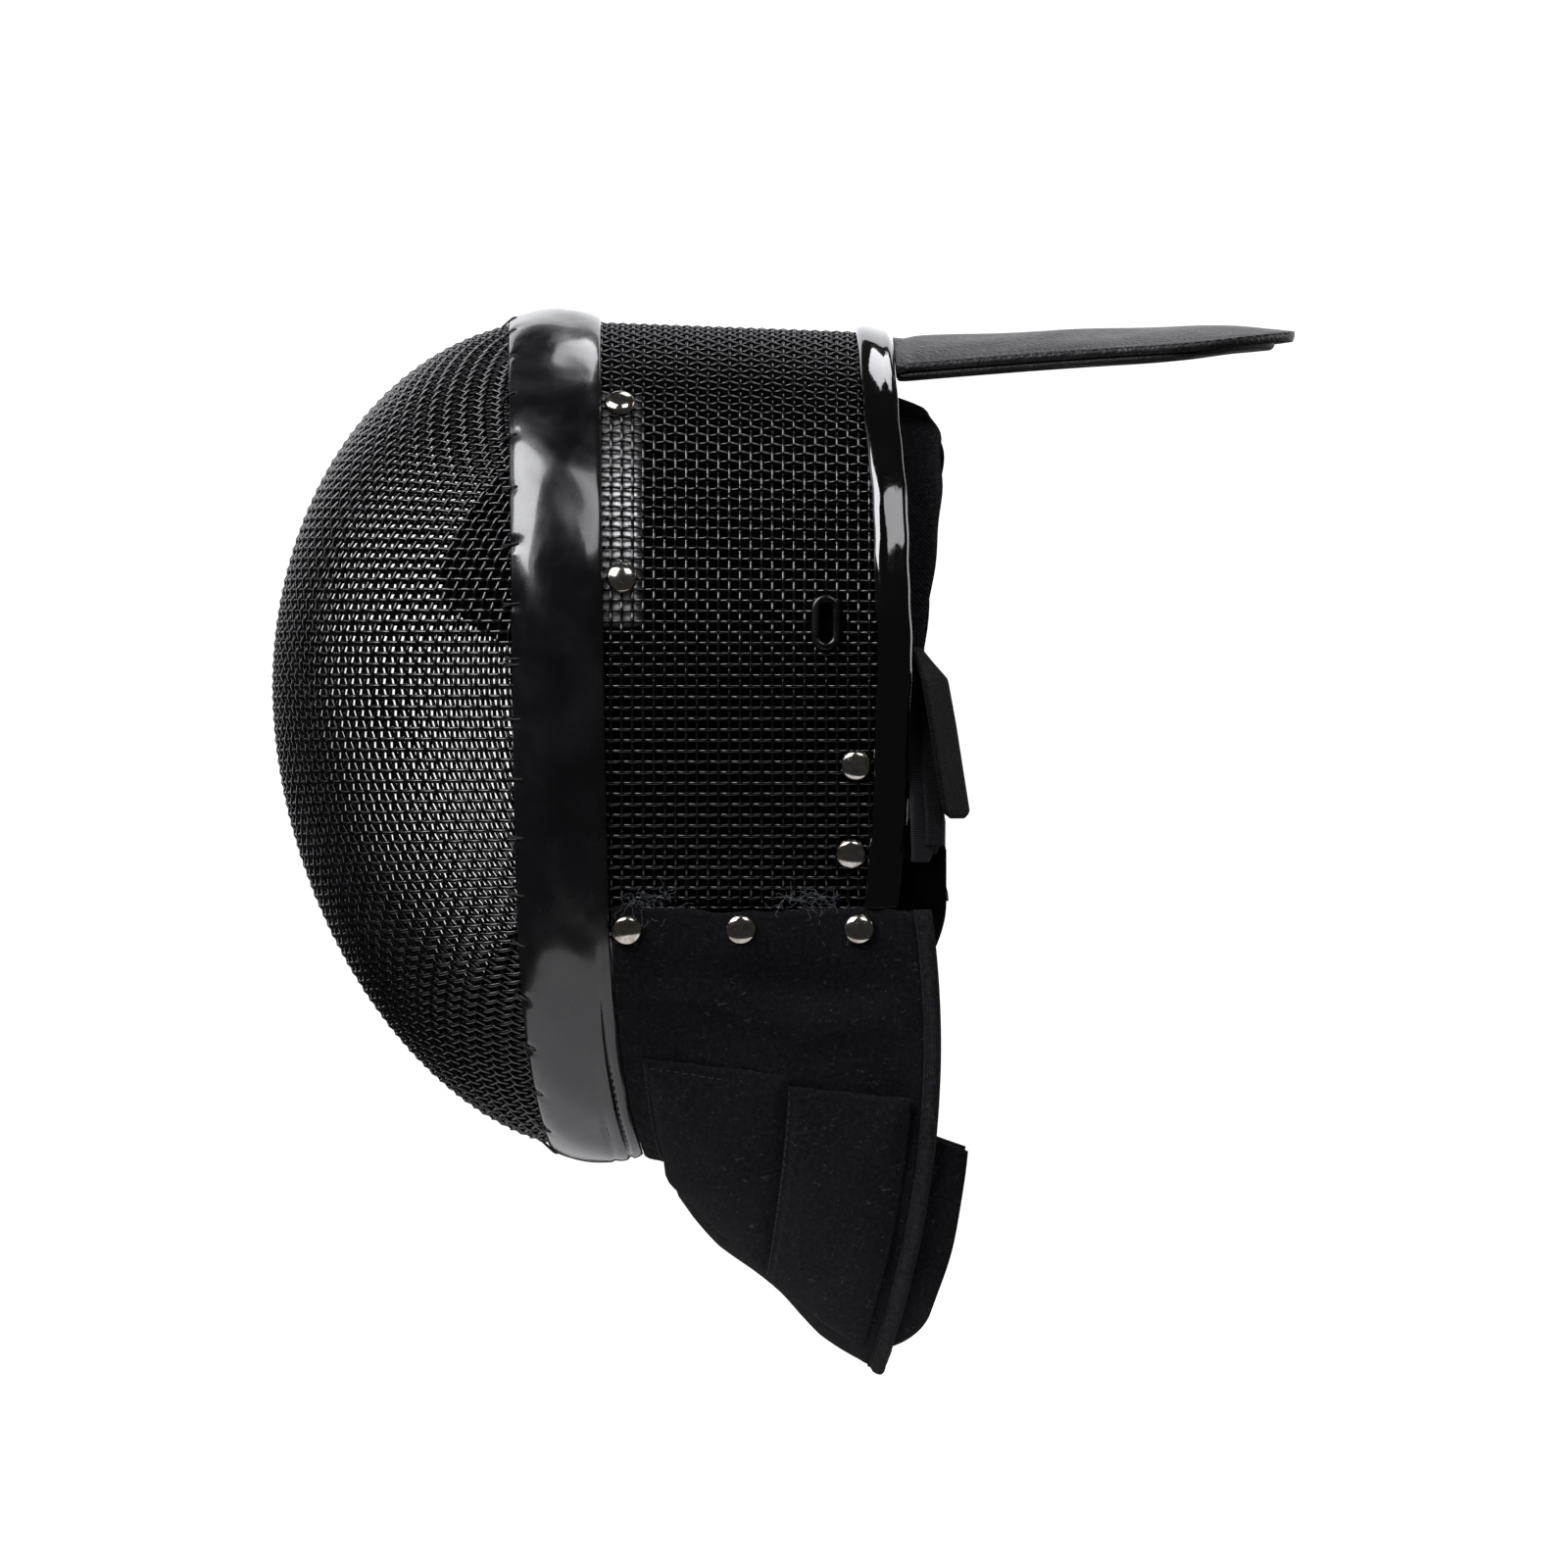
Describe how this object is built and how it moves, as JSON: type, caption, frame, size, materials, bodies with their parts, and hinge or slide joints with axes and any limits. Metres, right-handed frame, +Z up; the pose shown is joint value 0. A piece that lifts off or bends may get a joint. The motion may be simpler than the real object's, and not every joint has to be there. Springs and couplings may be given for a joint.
{
  "type": "fencing mask",
  "caption": "Fencing mask of black wire mesh with a domed front, padded band and rear channel, leather tongue at the crown, canvas bib with padded panels, liner and back straps.",
  "frame": {"origin": "where the crown of the head meets the underside of the liner, on the centre plane", "axes": "the mask faces -Y, +Z is up, +X is the wearer's left"},
  "size_m": [0.1888, 0.3236, 0.3369],
  "materials": {
    "wire_mesh": "black powder coat over woven steel wire",
    "vinyl": "padded black vinyl, semi-gloss",
    "channel": "high gloss black",
    "leather": "fine grain with a soft sheen",
    "lining": "matt lining leather",
    "canvas": "black twill canvas",
    "tape": "woven binding tape",
    "quilt": "black padded canvas",
    "padding": "matt black padded cloth",
    "nickel": "polished nickel",
    "steel": "plain sheet",
    "black_plastic": "satin",
    "webbing": "black twill webbing",
    "elastic": "ribbed elastic",
    "hook_tape": "hook and loop tape",
    "grey_plastic": "moulded"
  },
  "bodies": {
    "root": {"front_mesh": "wire_mesh", "side_mesh": "wire_mesh", "front_trim": "vinyl", "rear_trim": "channel", "tongue": "leather", "tongue_lining": "lining", "bib": "canvas", "bib_binding": "tape", "overlay_front_left": "quilt", "overlay_front_right": "quilt", "overlay_rear_left": "quilt", "overlay_rear_right": "quilt", "inner_bib": "canvas", "crown_liner": "padding", "temple_pad_left": "padding", "temple_pad_right": "padding", "chin_pad": "padding", "mesh_plate_left": "steel", "mesh_plate_right": "steel", "slot_grommet_left": "black_plastic", "slot_grommet_right": "black_plastic", "rivet_plate_upper_left": "nickel", "rivet_plate_upper_right": "nickel", "rivet_plate_lower_left": "nickel", "rivet_plate_lower_right": "nickel", "rivet_anchor_upper_left": "nickel", "rivet_anchor_upper_right": "nickel", "rivet_anchor_lower_left": "nickel", "rivet_anchor_lower_right": "nickel", "rivet_bib_front_left": "nickel", "rivet_bib_front_right": "nickel", "rivet_bib_middle_left": "nickel", "rivet_bib_middle_right": "nickel", "rivet_bib_rear_left": "nickel", "rivet_bib_rear_right": "nickel", "anchor_tab_left": "webbing", "anchor_tab_right": "webbing", "crown_strap": "webbing", "back_strap": "elastic", "strap_end": "hook_tape", "strap_slider": "grey_plastic"}
  },
  "joints": []
}
